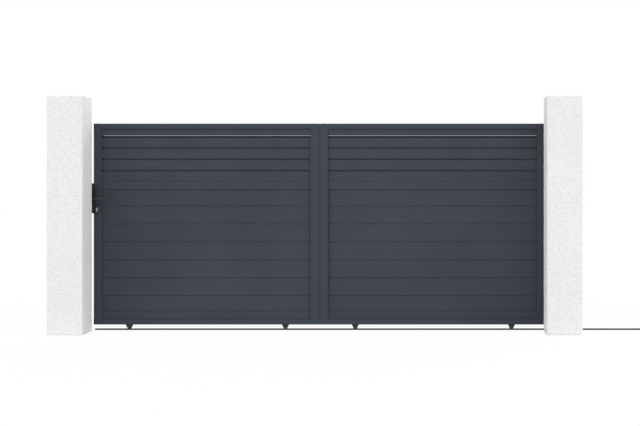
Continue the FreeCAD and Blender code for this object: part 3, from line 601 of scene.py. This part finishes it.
def cast_lever(node, outward):
    """Neck, collar and bar of one lever run together, reaching out from its backplate."""
    cast_grid = 0.0011
    neck_radius = 0.0095
    neck_setback = 0.002
    collar_radius = 0.0125
    collar_length = 0.004
    bar_depth = 0.012
    bar_corner = 0.008
    bar_edge = 0.003
    tip_length = 0.02
    tip_taper = 0.86
    low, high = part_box(node)
    plate_face, tip_face = (high.y, low.y) if outward < 0 else (low.y, high.y)
    neck_length = abs(tip_face - plate_face) - neck_setback
    turned = []
    for radius, length in ((neck_radius, neck_length), (collar_radius, collar_length)):
        start_piece()
        bpy.ops.mesh.primitive_cylinder_add(
            vertices=32, radius=radius, depth=length, rotation=(math.radians(90), 0, 0),
            location=(lock_x, plate_face + outward * length / 2, lever_z))
        turned.append(bpy.context.object)
    add_block(((low.x + high.x) / 2, tip_face - outward * bar_depth / 2, lever_z),
              (high.x - low.x, bar_depth, high.z - low.z))
    bpy.ops.object.mode_set(mode="EDIT")
    pick("EDGE", lambda edge: abs((edge.verts[0].co - edge.verts[1].co).y) > bar_depth / 2)
    bpy.ops.mesh.bevel(offset=bar_corner, segments=6, affect="EDGES")
    pick("FACE", lambda face: face.normal.y * outward > square_on)
    bpy.ops.mesh.bevel(offset=bar_edge, segments=3, affect="EDGES")
    pick("VERT", lambda vert: vert.co.x > high.x - tip_length)
    bpy.ops.transform.resize(value=(1, 1, tip_taper), center_override=(high.x, tip_face, lever_z))
    bpy.ops.object.mode_set(mode="OBJECT")
    for part in turned:
        part.select_set(True)
    bpy.ops.object.join()
    apply_modifier("REMESH", mode="VOXEL", voxel_size=cast_grid)
    apply_modifier("SMOOTH", factor=0.5, iterations=5)
    bpy.ops.object.shade_smooth()
    piece = settle(f"{node}_casting", lever_coat_with_painted_highlight, "lever")
    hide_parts(node)


cast_lever("outer_lever", -1)
cast_lever("inner_lever", 1)

# Top guide
# A folded steel bracket, coated black and bolted to the right pillar's back, whose arm holds two
# nylon rollers on bolts, one on each side of the top rail.
dress(["guide_rollers"], nylon)
guide_plate = 0.006
guide_bend = 0.009
guide_edge = 0.0008
arm_corner = 0.015
plate_corner = 0.012
guide_low, guide_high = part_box("guide_bracket")
guide_middle = (guide_low.x + guide_high.x) / 2
guide_width = guide_high.x - guide_low.x
start_piece()
bpy.ops.mesh.primitive_plane_add(size=1)
guide_sheet = bpy.context.object
guide_sheet.scale = (guide_width, guide_high.y - guide_low.y - guide_plate / 2, 1)
guide_sheet.location = (
    guide_middle, (guide_low.y + guide_plate / 2 + guide_high.y) / 2, guide_low.z + guide_plate / 2)
bpy.ops.object.transform_apply(location=True, rotation=True, scale=True)
bpy.ops.object.mode_set(mode="EDIT")
pick("EDGE", lambda edge: all(vert.co.y > guide_high.y - near for vert in edge.verts))
bpy.ops.mesh.bevel(offset=arm_corner, segments=4, affect="VERTICES")
pick("EDGE", lambda edge: all(vert.co.y < guide_low.y + guide_plate for vert in edge.verts))
bpy.ops.mesh.extrude_region_move(
    TRANSFORM_OT_translate={"value": (0, 0, guide_high.z - guide_low.z - guide_plate / 2)})
bpy.ops.mesh.bevel(offset=plate_corner, segments=4, affect="VERTICES")
pick("EDGE", lambda edge: len(edge.link_faces) == 2)
bpy.ops.mesh.bevel(offset=guide_bend, segments=4, affect="EDGES")
solid_sheet(guide_plate, guide_edge)
piece = settle("folded_guide_bracket", black_steel, "root")
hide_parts("guide_bracket")

guide_bolt_spread = 0.022
guide_bolt_drop = 0.035
place_copies(hex_bolt(radius=0.0085, height=0.007),
             [(guide_middle + side * guide_bolt_spread, guide_low.y + guide_plate,
               guide_high.z - guide_bolt_drop) for side in (-1, 1)], facing=(0, 1, 0))
settle("guide_wall_bolts", zinc, "root")


def roller_bolt(foot, grip_foot, grip_head, head):
    """A hexagon head below, a shank up through roller and arm, and a nut above."""
    shank_radius = 0.005
    hex_radius = 0.009
    nut = 0.008
    crown = 0.0012
    crown_rise = 0.0005
    thread_edge = 0.001
    open_disc(sides=6, radius=hex_radius, foot=foot, head=grip_foot)
    pick("FACE", lambda face: face.normal.z < -square_on)
    bpy.ops.mesh.inset(thickness=crown)
    bpy.ops.transform.translate(value=(0, 0, -crown_rise))
    add_disc(sides=20, radius=shank_radius, foot=grip_foot, head=head)
    ease_rim(head, thread_edge, segments=1)
    add_disc(sides=6, radius=hex_radius, foot=grip_head, head=grip_head + nut)
    pick("FACE", lambda face: (face.normal.z > square_on
                               and abs(face.calc_center_median().z - grip_head - nut) < near))
    bpy.ops.mesh.inset(thickness=crown)
    bpy.ops.transform.translate(value=(0, 0, crown_rise))
    bpy.ops.object.mode_set(mode="OBJECT")
    smooth(up_to=25)
    return bpy.context.object


pins_low, pins_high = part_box("guide_pins")
rollers_low, rollers_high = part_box("guide_rollers")
roller_radius = 0.018
place_copies(roller_bolt(pins_low.z, rollers_low.z, guide_low.z + guide_plate, pins_high.z),
             [(guide_middle, line, 0)
              for line in (rollers_low.y + roller_radius, rollers_high.y - roller_radius)],
             facing=(0, 0, 1))
piece = settle("roller_bolts", zinc, "root")
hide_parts("guide_pins")


# Setting
# A white floor and white surroundings, soft daylight from all round with broad lamps from the front
# left, the front right and more weakly the rear right, and the camera square to the gate.
def shown_directly(tree):
    """One where a ray comes from the camera, or by way of a gloss or a glass, and zero elsewhere."""
    ray = add_node(tree, "LightPath", {})
    direct = add_node(tree, "Math", {
        0: ray.outputs["Is Camera Ray"], 1: ray.outputs["Is Glossy Ray"]}, operation="MAXIMUM")
    return add_node(tree, "Math", {
        0: direct.outputs[0], 1: ray.outputs["Is Transmission Ray"]}, operation="MAXIMUM").outputs[0]


# Matt white paper: white to the eye, with a trace of the object's shadow.
floor_paper, tree, _ = new_material("white_floor")
floor_white = 0.92
share = add_node(tree, "Math", {0: shown_directly(tree), 1: floor_white}, operation="MULTIPLY")
matt = add_node(tree, "BsdfDiffuse", {"Color": linear("#ffffff")})
white = add_node(tree, "Emission", {"Color": linear("#ffffff"), "Strength": 1.0})
blend = add_node(tree, "MixShader", {0: share.outputs[0], 1: matt.outputs[0], 2: white.outputs[0]})
add_node(tree, "OutputMaterial", {"Surface": blend.outputs[0]})
floor_size = 60
floor_middle = 3.5
floor_drop = 0.0005
start_piece()
bpy.ops.mesh.primitive_plane_add(size=floor_size, location=(floor_middle, 0, -floor_drop))
bpy.context.object.name = "floor"
bpy.context.object.data.materials.append(floor_paper)

world = bpy.data.worlds.new("white_surroundings")
bpy.context.scene.world = world
world.use_nodes = True
tree = world.node_tree
tree.nodes.clear()
daylight_level = 0.62
daylight = add_node(tree, "Background", {"Color": linear("#ffffff"), "Strength": daylight_level})
backdrop = add_node(tree, "Background", {"Color": linear("#ffffff"), "Strength": 1.0})
blend = add_node(tree, "MixShader", {0: shown_directly(tree), 1: daylight.outputs[0], 2: backdrop.outputs[0]})
add_node(tree, "OutputWorld", {"Surface": blend.outputs[0]})

lamp_spread = 50
lamps = {
    "front_left_lamp": (0.92, (0.85, 0.55, -0.7)),
    "front_right_lamp": (1.05, (-0.85, 0.55, -0.7)),
    "rear_right_lamp": (0.5, (-0.7, -0.65, -0.3)),
}
for name, (energy, heading) in lamps.items():
    lamp = bpy.data.lights.new(name, "SUN")
    lamp.energy = energy
    lamp.angle = math.radians(lamp_spread)
    lamp_object = bpy.data.objects.new(name, lamp)
    lamp_object.rotation_euler = Vector(heading).to_track_quat("-Z", "Y").to_euler()
    bpy.context.scene.collection.objects.link(lamp_object)

# The principal point and the focal length are in pixels of the picture
image_width = 640
image_height = 426
sensor_width = 36
principal_x = 429
principal_y = 177.1
focal_length = 1245.7
camera_spot = (2.7391, -9.4939, 1.1882)
camera = bpy.data.cameras.new("square_on_view")
camera.sensor_width = sensor_width
camera.lens = focal_length / image_width * sensor_width
camera.shift_x = (image_width / 2 - principal_x) / image_width
camera.shift_y = (principal_y - image_height / 2) / image_width
camera_object = bpy.data.objects.new("square_on_view", camera)
camera_object.location = camera_spot
camera_object.rotation_euler = (math.radians(90), 0, 0)
bpy.context.scene.collection.objects.link(camera_object)
bpy.context.scene.camera = camera_object
bpy.context.scene.view_settings.view_transform = "Standard"
